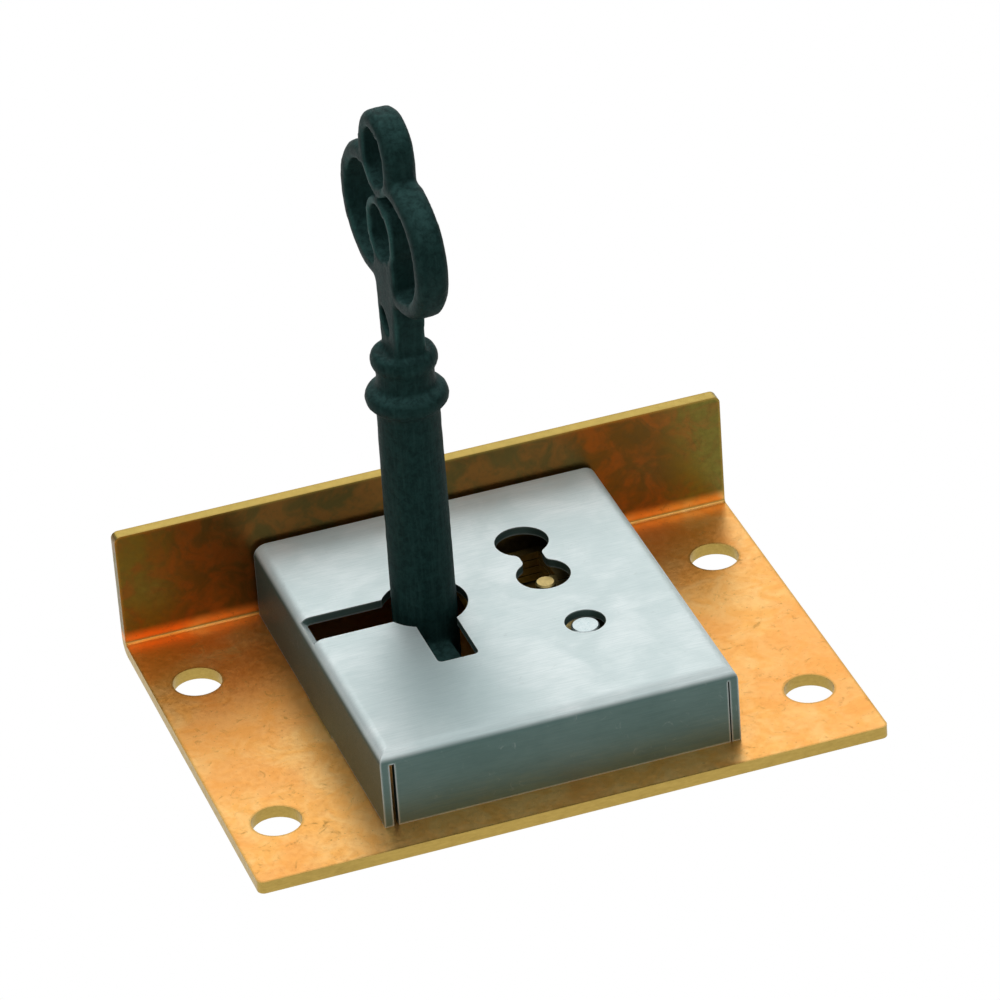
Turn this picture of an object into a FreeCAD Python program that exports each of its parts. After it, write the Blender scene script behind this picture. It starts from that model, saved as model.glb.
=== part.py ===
import FreeCAD, Part
import math
import os

import Sketcher

# Drawer till lock: a brass plate with an upright selvedge, a pressed steel cap over four levers and a bolt,
# and the iron key standing in its keyhole.
# Millimetres. Z is up from the plate's underside, +Y points to the selvedge, where the bolt comes out.
# The origin is the middle of the plate's underside. The bolt is drawn in and the key has just gone in.

# Driving sizes
SIZES = {
    # plate, one folded sheet
    "plate_width": 63.5,
    "plate_depth": 45.73,
    "sheet_thick": 1.27,
    "selvedge_height": 13.76,
    "fold_radius": 0.35,
    "corner_radius": 0.7,
    "screw_hole": 4.9,
    "screw_side_margin": 4.65,
    "screw_front_margin": 9.165,
    "screw_back_margin": 10.565,
    # steel cap
    "cap_width": 36.0,
    "cap_tail_gap": 2.415,
    "cap_gap_behind": 0.56,
    "cap_top": 9.5,
    "cap_wall": 0.9,
    "cap_bend": 1.3,
    "cap_foot_gap": 0.15,
    "slit_left": 0.5,
    "slit_right": 0.15,
    "tenon_width": 7.0,
    # keyhole in the cap, set back from the selvedge's face
    "key_left": 5.7,
    "key_setback": 18.63,
    "keyhole_gap": 1.05,
    "slot_front_gap": 0.675,
    "slot_end_gap": 0.85,
    "slot_side_width": 4.22,
    "slot_side_shift": 0.11,
    "slot_side_wrap": 48.0,
    "slot_corner": 0.5,
    # figure-eight window and round hole in the cap
    "window_right": 6.6,
    "window_radius": 2.7,
    "window_neck": 2.4,
    "window_fillet": 0.8,
    "post_window": 4.06,
    # lever post, riveted in the plate
    "post_right": 7.5,
    "post_from_key": 9.6,
    "post_spindle": 2.8,
    "post_shoulder": 4.0,
    "post_foot": 2.4,
    "post_sunk": 0.4,
    "post_bevel": 0.15,
    # pin that the bored key turns on
    "drill_pin": 3.0,
    "drill_foot": 2.4,
    "drill_sunk": 0.5,
    "drill_bevel": 0.5,
    # bolt
    "bolt_throw": 6.5,
    "bolt_lift": 0.1,
    "tail_thick": 1.6,
    "tail_from_key": 6.2,
    "tail_right": 5.8,
    "tail_root_gap": 0.295,
    "tail_web": 1.885,
    "tail_cut_back": 3.8,
    "tail_cut_side": 2.5,
    "talon_top_gap": 0.785,
    "talon_bottom_gap": 0.735,
    "talon_side_gap": 0.3,
    "horn_height": 3.3,
    "head_width": 16.0,
    "head_right": 5.0,
    "head_low": 2.1,
    "head_height": 5.6,
    "head_lever_gap": 1.7,
    "head_chamfer": 0.25,
    "slide_fit": 0.1,
    "stump_right": 6.8,
    "stump_from_key": 0.165,
    "stump_size": 2.0,
    "stump_roof_gap": 0.1,
    # levers and their springs
    "lever_thick": 0.72,
    "lever_gap": 0.12,
    "lever_boss": 3.3,
    "lever_corner": 1.6,
    "lever_rim": 0.95,
    "lever_web": 1.3,
    "gate_low_width": 4.0,
    "gate_low_drop": 1.565,
    "gate_low_rise": 1.635,
    "gate_neck_gap": 0.25,
    "gate_high_width": 5.4,
    "gate_high_drop": 2.665,
    "gate_high_rise": 2.005,
    "gate_open_share": 0.53,
    "belly_clear": 0.4,
    "belly_low": 35.0,
    "belly_high": 33.0,
    "turn_fit": 0.1,
    "spring_thick": 0.3,
    "spring_width": 0.5,
    "spring_wall_gap": 0.13,
    "spring_run": 0.75,
    "spring_splay": 8.4,
    "spring_leg": 8.6,
    "spring_grip": 1.4,
    # key
    "key_turned": 3.5,
    "shank_low": 3.25,
    "shank_high": 3.1,
    "shank_foot_gap": 0.18,
    "taper_above_bit": 1.5,
    "bore_fit": 0.15,
    "bore_end_gap": 1.5,
    "collar_level": 33.29,
    "collar_radius": 4.1,
    "collar_swell": 1.15,
    "neck_radius": 2.85,
    "bead_level": 37.37,
    "bead_radius": 3.32,
    "bead_swell": 1.37,
    "bead_lip": 2.8,
    "bead_dip": 0.85,
    "bow_thick": 3.2,
    "near_level": 51.35,
    "near_offset": 3.65,
    "far_level": 52.05,
    "far_offset": 3.1,
    "lobe_radius": 6.95,
    "lobe_hole": 5.2,
    "rim_chamfer": 0.6,
    "loop_level": 59.36,
    "loop_radius": 4.0,
    "loop_hole": 2.38,
    "loop_half_run": 0.6,
    "ring_level": 51.3,
    "ring_radius": 3.35,
    "ring_hole": 2.5,
    "ring_half_run": 0.33,
    "stem_near": 2.15,
    "stem_far": 1.8,
    "web_near": 3.0,
    "web_far": 2.1,
    "web_level": 46.4,
    "eye_level": 41.6,
    "eye_far": 0.25,
    "eye_lean": 30.0,
    "eye_half_width": 0.78,
    "eye_half_height": 1.65,
    "bit_thick": 2.8,
    "bit_foot_gap": 0.28,
    "bit_bolt_reach": 9.75,
    # each lever: how far the key's step for it reaches, and the angle that the lever swings
    "lever_step_1": 8.8,
    "lever_step_2": 8.1,
    "lever_step_3": 8.5,
    "lever_step_4": 7.8,
    "lever_swing_1": 4.0,
    "lever_swing_2": 3.6,
    "lever_swing_3": 3.8,
    "lever_swing_4": 3.4,
}
LEVER_COUNT = 4

# Slack for comparing lengths, least share of an edge's length that runs along an axis, and least cut volume
LENGTH_SLACK = 1e-3
ALONG_SHARE = 0.999
LEAST_CUT = 1e-4


class Size:
    """A number together with the formula that keeps it tied to the sheet."""

    def __init__(self, value, text):
        self.value = float(value)
        self.text = text

    def __add__(self, other):
        other = as_size(other)
        return Size(self.value + other.value, "(%s + %s)" % (self.text, other.text))

    __radd__ = __add__

    def __sub__(self, other):
        other = as_size(other)
        return Size(self.value - other.value, "(%s - %s)" % (self.text, other.text))

    def __rsub__(self, other):
        return as_size(other) - self

    def __mul__(self, other):
        other = as_size(other)
        return Size(self.value * other.value, "(%s * %s)" % (self.text, other.text))

    __rmul__ = __mul__

    def __truediv__(self, other):
        other = as_size(other)
        return Size(self.value / other.value, "(%s / %s)" % (self.text, other.text))

    def __neg__(self):
        return Size(-self.value, "(0 - %s)" % self.text)


def as_size(number):
    if isinstance(number, Size):
        return number
    return Size(number, repr(float(number)))


def root(size):
    return Size(math.sqrt(size.value), "sqrt(%s)" % size.text)


def sine(angle):
    angle = as_size(angle)
    return Size(math.sin(math.radians(angle.value)), "sin(%s)" % angle.text)


def cosine(angle):
    angle = as_size(angle)
    return Size(math.cos(math.radians(angle.value)), "cos(%s)" % angle.text)


# Document and sheet
doc = FreeCAD.newDocument("DrawerTillLock")
sheet = doc.addObject("Spreadsheet::Sheet", "Sizes")
size = {}


def write_size(row, name, number):
    sheet.set("A%d" % row, name)
    sheet.set("B%d" % row, str(number))
    sheet.setAlias("B%d" % row, name)
    size[name] = Size(number, "Sizes." + name)


for row, (name, number) in enumerate(SIZES.items(), start=1):
    write_size(row, name, number)
doc.recompute()

# Sizes that follow from the others
plate_half = size["plate_width"] / 2
selvedge_face = size["plate_depth"] / 2
selvedge_inner = selvedge_face - size["sheet_thick"]
cap_half = size["cap_width"] / 2
cap_inner_half = cap_half - size["cap_wall"]
cap_ceiling = size["cap_top"] - size["cap_wall"]
key_x = -size["key_left"]
key_y = selvedge_face - size["key_setback"]
post_y = key_y - size["post_from_key"]
stump_y = key_y + size["stump_from_key"]
stump_radius = size["stump_size"] / 2
guide_radius = size["post_shoulder"] / 2 + size["slide_fit"] / 2
tail_end = post_y - size["bolt_throw"] - guide_radius - size["tail_web"]
tail_root = selvedge_inner - size["bolt_throw"] - size["tail_root_gap"]
cap_front = tail_end - size["cap_tail_gap"] - size["cap_wall"]
cap_back = selvedge_inner - size["cap_gap_behind"]
cap_middle = (cap_back + cap_front) / 2
bolt_bottom = size["sheet_thick"] + size["bolt_lift"]
bolt_top = bolt_bottom + size["tail_thick"]
lever_pitch = size["lever_thick"] + size["lever_gap"]
shoulder_top = bolt_top + size["slide_fit"]
lever_floor = shoulder_top + size["slide_fit"]
gate_low = stump_y - post_y
gate_high = gate_low + size["bolt_throw"]
lever_top = gate_high + size["gate_high_rise"] + size["lever_rim"]
head_back = post_y + lever_top + size["head_lever_gap"]
pin_top = size["cap_top"] - size["drill_sunk"]
key_foot = size["sheet_thick"] + size["shank_foot_gap"]
bit_top = lever_floor + LEVER_COUNT * lever_pitch - size["lever_gap"] / 2


# Small helpers for bodies, sketches and features
def new_body(label):
    body = doc.addObject("PartDesign::Body", label)
    body.Label = label
    return body


def put(body, x, y, z, turned=None):
    angle = turned.value if turned is not None else 0.0
    body.Placement = FreeCAD.Placement(
        FreeCAD.Vector(as_size(x).value, as_size(y).value, as_size(z).value),
        FreeCAD.Rotation(FreeCAD.Vector(0, 0, 1), angle),
    )
    for axis, amount in zip("xyz", (x, y, z)):
        body.setExpression("Placement.Base." + axis, as_size(amount).text)
    if turned is not None:
        body.setExpression("Placement.Rotation.Angle", turned.text)


def origin_plane(body, role):
    for feature in body.Origin.OriginFeatures:
        if feature.Role == role:
            return feature
    raise ValueError(role)


def new_sketch(body, name, role="XY_Plane", offset=None):
    sketch = body.newObject("Sketcher::SketchObject", name)
    sketch.AttachmentSupport = [(origin_plane(body, role), "")]
    sketch.MapMode = "FlatFace"
    if offset is not None:
        offset = as_size(offset)
        sketch.AttachmentOffset = FreeCAD.Placement(
            FreeCAD.Vector(0, 0, offset.value), FreeCAD.Rotation()
        )
        sketch.setExpression("AttachmentOffset.Base.z", offset.text)
    return sketch


def bind(sketch, kind, places, amount):
    index = sketch.addConstraint(Sketcher.Constraint(kind, *places, amount.value))
    sketch.setExpression("Constraints[%d]" % index, amount.text)


def hold_across(sketch, geometry, end, x):
    if isinstance(x, Size):
        bind(sketch, "DistanceX", (-1, 1, geometry, end), x)
    else:
        sketch.addConstraint(Sketcher.Constraint("PointOnObject", geometry, end, -2))


def hold_up(sketch, geometry, end, y):
    if isinstance(y, Size):
        bind(sketch, "DistanceY", (-1, 1, geometry, end), y)
    else:
        sketch.addConstraint(Sketcher.Constraint("PointOnObject", geometry, end, -1))


def pin_point(sketch, geometry, end, x, y):
    """Hold one end of a piece of geometry at x, y from the sketch's origin."""
    hold_across(sketch, geometry, end, x)
    hold_up(sketch, geometry, end, y)


def hold_centre(sketch, arc, centre, chord):
    """With both ends held, one coordinate of the centre settles an arc: the one across its chord."""
    if abs(chord.x) > abs(chord.y):
        hold_up(sketch, arc, 3, centre[1])
    else:
        hold_across(sketch, arc, 3, centre[0])


def add_circle(sketch, x, y, radius):
    centre = FreeCAD.Vector(as_size(x).value, as_size(y).value, 0)
    index = sketch.addGeometry(
        Part.Circle(centre, FreeCAD.Vector(0, 0, 1), radius.value), False
    )
    bind(sketch, "Radius", (index,), radius)
    pin_point(sketch, index, 3, x, y)


def add_outline(sketch, corners):
    """A closed outline. Each corner is (x, y), or (x, y, centre, turn) where an arc leads on to the next
    corner: its centre, and 1 for anticlockwise or -1 for clockwise."""
    first = None
    previous = None
    count = len(corners)
    for number, corner in enumerate(corners):
        following = corners[(number + 1) % count]
        start = FreeCAD.Vector(as_size(corner[0]).value, as_size(corner[1]).value, 0)
        finish = FreeCAD.Vector(as_size(following[0]).value, as_size(following[1]).value, 0)
        if len(corner) == 2:
            index = sketch.addGeometry(Part.LineSegment(start, finish), False)
            head, tail = 1, 2
        else:
            centre = FreeCAD.Vector(as_size(corner[2][0]).value, as_size(corner[2][1]).value, 0)
            radius = start.distanceToPoint(centre)
            from_angle = math.atan2(start.y - centre.y, start.x - centre.x)
            to_angle = math.atan2(finish.y - centre.y, finish.x - centre.x)
            if corner[3] < 0:
                from_angle, to_angle = to_angle, from_angle
            circle = Part.Circle(centre, FreeCAD.Vector(0, 0, 1), radius)
            if to_angle < from_angle:
                to_angle += 2 * math.pi
            index = sketch.addGeometry(Part.ArcOfCircle(circle, from_angle, to_angle), False)
            head, tail = (1, 2) if corner[3] > 0 else (2, 1)
            hold_centre(sketch, index, corner[2], finish - start)
        pin_point(sketch, index, head, corner[0], corner[1])
        if previous is not None:
            sketch.addConstraint(
                Sketcher.Constraint("Coincident", previous[0], previous[1], index, head)
            )
        if first is None:
            first = (index, head)
        previous = (index, tail)
    sketch.addConstraint(
        Sketcher.Constraint("Coincident", previous[0], previous[1], first[0], first[1])
    )


def add_box(sketch, left, right, low, high):
    add_outline(sketch, [(left, low), (right, low), (right, high), (left, high)])


def add_runway(sketch, x, y, radius, half_run):
    """Two half circles joined by straight runs, longer along the sketch's second axis."""
    low = y - half_run
    high = y + half_run
    add_outline(
        sketch,
        [
            (x + radius, low),
            (x + radius, high, (x, high), 1),
            (x - radius, high),
            (x - radius, low, (x, low), 1),
        ],
    )


def add_figure_eight(sketch, x, low, high, radius, neck, fillet):
    """Two round pockets joined by a straight neck, with a fillet where the neck meets each pocket."""
    half = neck / 2
    aside = half + fillet
    reach = radius + fillet
    drop = root(reach * reach - aside * aside)
    share = radius / reach
    out = aside * share
    rise = drop * share
    add_outline(
        sketch,
        [
            (x + out, low + rise, (x + aside, low + drop), -1),
            (x + half, low + drop),
            (x + half, high - drop, (x + aside, high - drop), -1),
            (x + out, high - rise, (x, high), 1),
            (x - out, high - rise, (x - aside, high - drop), -1),
            (x - half, high - drop),
            (x - half, low + drop, (x - aside, low + drop), -1),
            (x - out, low + rise, (x, low), 1),
        ],
    )


def add_pad(body, sketch, length, both_ways=False, backwards=False):
    pad = body.newObject("PartDesign::Pad", sketch.Name + "Pad")
    pad.Profile = sketch
    pad.Length = length.value
    pad.setExpression("Length", length.text)
    pad.Midplane = both_ways
    pad.Reversed = backwards
    doc.recompute()
    return pad


def add_pocket(body, sketch, length, both_ways=False, backwards=False):
    before = body.Shape.Volume
    pocket = body.newObject("PartDesign::Pocket", sketch.Name + "Cut")
    pocket.Profile = sketch
    pocket.Length = length.value
    pocket.setExpression("Length", length.text)
    pocket.Midplane = both_ways
    pocket.Reversed = backwards
    doc.recompute()
    if before - body.Shape.Volume < LEAST_CUT:
        raise ValueError("%s cuts nothing" % sketch.Name)
    return pocket


def add_revolution(body, sketch, line):
    turned = body.newObject("PartDesign::Revolution", sketch.Name + "Turned")
    turned.Profile = sketch
    turned.ReferenceAxis = (sketch, [line])
    turned.Angle = 360.0
    doc.recompute()
    return turned


def add_round(body, base, edges, radius, kind="PartDesign::Fillet"):
    feature = body.newObject(kind, base.Name + "Edges")
    feature.Base = (base, edges)
    name = "Radius" if kind.endswith("Fillet") else "Size"
    setattr(feature, name, radius.value)
    feature.setExpression(name, radius.text)
    doc.recompute()
    return feature


def edges_where(feature, test):
    """Names of the edges whose middle point, length and direction pass the test."""
    names = []
    for number, edge in enumerate(feature.Shape.Edges, start=1):
        middle = edge.valueAt((edge.FirstParameter + edge.LastParameter) / 2)
        if test(edge, middle):
            names.append("Edge%d" % number)
    if not names:
        raise ValueError("no edge found on %s" % feature.Name)
    return names


def near(value, target):
    return abs(value - as_size(target).value) < LENGTH_SLACK


def runs_along(edge, axis):
    start = edge.valueAt(edge.FirstParameter)
    finish = edge.valueAt(edge.LastParameter)
    step = finish - start
    if step.Length < LENGTH_SLACK:
        return False
    return abs(getattr(step, axis)) / step.Length > ALONG_SHARE


# Back plate: one brass sheet folded up into the selvedge
plate = new_body("back_plate")
put(plate, 0, 0, 0)
profile = new_sketch(plate, "PlateProfile", "YZ_Plane")
fold_outer = size["fold_radius"] + size["sheet_thick"]
add_outline(
    profile,
    [
        (-selvedge_face, 0),
        (
            selvedge_face - fold_outer,
            0,
            (selvedge_face - fold_outer, fold_outer),
            1,
        ),
        (selvedge_face, fold_outer),
        (selvedge_face, size["selvedge_height"]),
        (selvedge_inner, size["selvedge_height"]),
        (
            selvedge_inner,
            fold_outer,
            (selvedge_inner - size["fold_radius"], fold_outer),
            -1,
        ),
        (selvedge_inner - size["fold_radius"], size["sheet_thick"]),
        (-selvedge_face, size["sheet_thick"]),
    ],
)
plate_pad = add_pad(plate, profile, size["plate_width"], both_ways=True)


def is_sheet_corner(edge, middle):
    at_side = near(abs(middle.x), plate_half)
    front = runs_along(edge, "z") and near(middle.y, -selvedge_face)
    upper = runs_along(edge, "y") and near(middle.z, size["selvedge_height"])
    return at_side and (front or upper)


add_round(plate, plate_pad, edges_where(plate_pad, is_sheet_corner), size["corner_radius"])

# Screw holes: one hole, repeated across and along the plate
hole_sketch = new_sketch(plate, "ScrewHole")
hole_radius = size["screw_hole"] / 2
hole_left = size["screw_side_margin"] - plate_half
hole_front = size["screw_front_margin"] - selvedge_face
span_across = size["plate_width"] - 2 * size["screw_side_margin"]
span_along = size["plate_depth"] - size["screw_front_margin"] - size["screw_back_margin"]
add_circle(hole_sketch, hole_left, hole_front, hole_radius)
hole_cut = add_pocket(plate, hole_sketch, size["sheet_thick"], backwards=True)
grid = plate.newObject("PartDesign::MultiTransform", "ScrewHoles")
grid.Originals = [hole_cut]
steps = []
for name, axis, span in (
    ("HolesAcross", "H_Axis", span_across),
    ("HolesAlong", "V_Axis", span_along),
):
    step = plate.newObject("PartDesign::LinearPattern", name)
    step.Direction = (hole_sketch, [axis])
    step.Length = span.value
    step.setExpression("Length", span.text)
    step.Occurrences = 2
    steps.append(step)
grid.Transformations = steps
plate.Tip = grid
doc.recompute()

# Slots for the cap's tenons and holes for the feet of the post and the pin
tenon_low = cap_middle - size["tenon_width"] / 2
tenon_high = cap_middle + size["tenon_width"] / 2
feet = new_sketch(plate, "Feet")
add_box(feet, -cap_half, -cap_inner_half, tenon_low, tenon_high)
add_box(feet, cap_inner_half, cap_half, tenon_low, tenon_high)
add_circle(feet, size["post_right"], post_y, size["post_foot"] / 2)
add_circle(feet, key_x, key_y, size["drill_foot"] / 2)
add_pocket(plate, feet, size["sheet_thick"], backwards=True)

# The bolt's mouth in the selvedge
mouth = new_sketch(plate, "BoltMouth", "XZ_Plane", -selvedge_inner + size["slide_fit"])
head_half = size["head_width"] / 2
head_top = size["head_low"] + size["head_height"]
add_box(
    mouth,
    size["head_right"] - head_half - size["slide_fit"],
    size["head_right"] + head_half + size["slide_fit"],
    size["head_low"] - size["slide_fit"],
    head_top + size["slide_fit"],
)
add_pocket(plate, mouth, size["sheet_thick"] + 2 * size["slide_fit"])

# Steel cap: drawn box with bent edges, open below and behind
cap = new_body("lock_case")
put(cap, 0, 0, 0)
blank = new_sketch(cap, "CapBlank", "XY_Plane", size["sheet_thick"])
add_box(blank, -cap_half, cap_half, cap_front, cap_back)
cap_pad = add_pad(cap, blank, size["cap_top"] - size["sheet_thick"])


def is_bent(edge, middle):
    at_top = near(middle.z, size["cap_top"])
    return at_top and not near(middle.y, cap_back)


cap_bends = add_round(cap, cap_pad, edges_where(cap_pad, is_bent), size["cap_bend"])
open_faces = []
for number, face in enumerate(cap_bends.Shape.Faces, start=1):
    centre = face.CenterOfMass
    if near(centre.z, size["sheet_thick"]) or near(centre.y, cap_back):
        open_faces.append("Face%d" % number)
hollow = cap.newObject("PartDesign::Thickness", "CapHollow")
hollow.Base = (cap_bends, open_faces)
hollow.Value = size["cap_wall"].value
hollow.setExpression("Value", size["cap_wall"].text)
hollow.Reversed = True
doc.recompute()

# The side walls stand clear of the plate except at their tenons
walls = new_sketch(cap, "WallFeet", "XY_Plane", size["sheet_thick"])
for low, high in (
    (cap_front + size["cap_wall"], tenon_low),
    (tenon_high, cap_back),
):
    add_box(walls, -cap_half, -cap_inner_half, low, high)
    add_box(walls, cap_inner_half, cap_half, low, high)
add_pocket(cap, walls, size["cap_foot_gap"], backwards=True)
tenons = new_sketch(cap, "Tenons")
add_box(tenons, -cap_half, -cap_inner_half, tenon_low, tenon_high)
add_box(tenons, cap_inner_half, cap_half, tenon_low, tenon_high)
add_pad(cap, tenons, size["sheet_thick"] + size["cap_foot_gap"])

# Slits where the front wall was bent down between the side walls
slits = new_sketch(cap, "CornerSlits", "XZ_Plane", -cap_front)
bend_start = size["cap_top"] - size["cap_bend"]
add_box(
    slits,
    -cap_inner_half,
    -cap_inner_half + size["slit_left"],
    size["sheet_thick"],
    bend_start,
)
add_box(
    slits,
    cap_inner_half - size["slit_right"],
    cap_inner_half,
    size["sheet_thick"],
    bend_start,
)
add_pocket(cap, slits, size["cap_wall"])

# Keyhole: a round hole with a slot to the front and a slot to the left
keyhole = new_sketch(cap, "Keyhole", "XY_Plane", cap_ceiling)
radius = size["shank_low"] + size["keyhole_gap"]
front_half = size["bit_thick"] / 2 + size["slot_front_gap"]
side_half = size["slot_side_width"] / 2
side_low = key_y + size["slot_side_shift"] - side_half
side_high = key_y + size["slot_side_shift"] + side_half
front_drop = root(radius * radius - front_half * front_half)
below = side_half - size["slot_side_shift"]
above = side_half + size["slot_side_shift"]
side_reach_low = root(radius * radius - below * below)
side_reach_high = root(radius * radius - above * above)
slot_end = key_y - size["bit_bolt_reach"] - size["slot_end_gap"]
round_end = size["slot_corner"]
side_edge = -cap_half + size["cap_bend"]
add_outline(
    keyhole,
    [
        (key_x + front_half, key_y - front_drop, (key_x, key_y), 1),
        (key_x - side_reach_high, side_high),
        (side_edge, side_high),
        (side_edge, side_low),
        (key_x - side_reach_low, side_low, (key_x, key_y), 1),
        (key_x - front_half, key_y - front_drop),
        (
            key_x - front_half,
            slot_end + round_end,
            (key_x - front_half + round_end, slot_end + round_end),
            1,
        ),
        (key_x - front_half + round_end, slot_end),
        (
            key_x + front_half - round_end,
            slot_end,
            (key_x + front_half - round_end, slot_end + round_end),
            1,
        ),
        (key_x + front_half, slot_end + round_end),
    ],
)
add_pocket(cap, keyhole, 2 * size["cap_wall"], backwards=True)

# The left slot was punched before bending, so it runs on round the bend
wrap = new_sketch(cap, "SlotRoundBend", "XZ_Plane", -side_low)
wrap_reach = 2 * size["cap_bend"]
wrap_x = side_edge - wrap_reach * sine(size["slot_side_wrap"])
wrap_z = bend_start + wrap_reach * cosine(size["slot_side_wrap"])
add_outline(
    wrap,
    [
        (side_edge, bend_start),
        (side_edge, size["cap_top"] + size["cap_bend"]),
        (wrap_x, size["cap_top"] + size["cap_bend"]),
        (wrap_x, wrap_z),
    ],
)
add_pocket(cap, wrap, size["slot_side_width"])

# Window over the lever gates, and the hole round the post's end
window = new_sketch(cap, "Window", "XY_Plane", cap_ceiling)
add_figure_eight(
    window,
    size["window_right"],
    key_y,
    key_y + size["bolt_throw"],
    size["window_radius"],
    size["window_neck"],
    size["window_fillet"],
)
add_circle(window, size["post_right"], post_y, size["post_window"] / 2)
add_pocket(cap, window, 2 * size["cap_wall"], backwards=True)

# Lever post: foot riveted in the plate, shoulder in the bolt's slot, spindle through the levers
post = new_body("pivot_post")
put(post, size["post_right"], post_y, 0)
turning = new_sketch(post, "PostProfile", "XZ_Plane")
foot = size["post_foot"] / 2
shoulder = size["post_shoulder"] / 2
spindle = size["post_spindle"] / 2
post_top = size["cap_top"] - size["post_sunk"]
add_outline(
    turning,
    [
        (0, 0),
        (foot, 0),
        (foot, size["sheet_thick"]),
        (shoulder, size["sheet_thick"]),
        (shoulder, shoulder_top),
        (spindle, shoulder_top),
        (spindle, post_top - size["post_bevel"]),
        (spindle - size["post_bevel"], post_top),
        (0, post_top),
    ],
)
add_revolution(post, turning, "V_Axis")

# Pin for the bored key
pin = new_body("drill_pin")
put(pin, key_x, key_y, 0)
turning = new_sketch(pin, "PinProfile", "XZ_Plane")
foot = size["drill_foot"] / 2
body_radius = size["drill_pin"] / 2
add_outline(
    turning,
    [
        (0, 0),
        (foot, 0),
        (foot, size["sheet_thick"]),
        (body_radius, size["sheet_thick"]),
        (body_radius, pin_top - size["drill_bevel"]),
        (body_radius - size["drill_bevel"], pin_top),
        (0, pin_top),
    ],
)
add_revolution(pin, turning, "V_Axis")

# Bolt, drawn from the stump's place: thin tail with talon notch and guide slot, thick head in the mouth
bolt = new_body("bolt")
put(bolt, size["stump_right"], stump_y, 0)
tail = new_sketch(bolt, "TailOutline", "XY_Plane", bolt_bottom)
tail_left = key_x + size["tail_from_key"] - size["stump_right"]
talon_x = key_x + size["bit_bolt_reach"] + size["talon_side_gap"] - size["stump_right"]
talon_high = key_y - size["talon_top_gap"] - stump_y
talon_low = key_y - size["bit_bolt_reach"] - size["talon_bottom_gap"] - stump_y
horn_low = talon_low - size["horn_height"]
cut_x = tail_left + size["tail_cut_side"]
end_y = tail_end - stump_y
root_y = tail_root - stump_y
add_outline(
    tail,
    [
        (tail_left, root_y),
        (tail_left, talon_high),
        (talon_x, talon_high),
        (talon_x, talon_low),
        (tail_left, talon_low),
        (tail_left, horn_low),
        (cut_x, end_y + size["tail_cut_back"]),
        (cut_x, end_y),
        (size["tail_right"], end_y),
        (size["tail_right"], root_y),
    ],
)
add_pad(bolt, tail, size["tail_thick"])
head_front = selvedge_face - stump_y
head_left = size["head_right"] - head_half - size["stump_right"]
head_right = size["head_right"] + head_half - size["stump_right"]
neck = new_sketch(bolt, "HeadRoot", "XY_Plane", size["head_low"])
add_box(neck, tail_left, size["tail_right"], root_y - size["tail_thick"], head_front)
add_pad(bolt, neck, bolt_top - size["head_low"])
head = new_sketch(bolt, "Head", "XY_Plane", size["head_low"])
add_box(head, head_left, head_right, head_back - stump_y, head_front)
head_pad = add_pad(bolt, head, size["head_height"])


def is_head_end(edge, middle):
    return near(middle.y, head_front)


head_edges = edges_where(head_pad, is_head_end)
add_round(bolt, head_pad, head_edges, size["head_chamfer"], "PartDesign::Chamfer")
guide = new_sketch(bolt, "GuideSlot", "XY_Plane", bolt_bottom)
guide_y = post_y - stump_y
add_runway(
    guide,
    size["post_right"] - size["stump_right"],
    guide_y - size["bolt_throw"] / 2,
    guide_radius,
    size["bolt_throw"] / 2,
)
add_circle(guide, 0, 0, stump_radius)
add_pocket(bolt, guide, size["tail_thick"], backwards=True)

# Stump: the pin riveted in the bolt that passes through the lever gates
stump = new_body("bolt_stump")
put(stump, size["stump_right"], stump_y, 0)
turning = new_sketch(stump, "StumpProfile", "XZ_Plane")
stump_top = cap_ceiling - size["stump_roof_gap"]
add_outline(
    turning,
    [
        (0, bolt_bottom),
        (stump_radius, bolt_bottom),
        (stump_radius, stump_top - size["post_bevel"]),
        (stump_radius - size["post_bevel"], stump_top),
        (0, stump_top),
    ],
)
add_revolution(stump, turning, "V_Axis")


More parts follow.
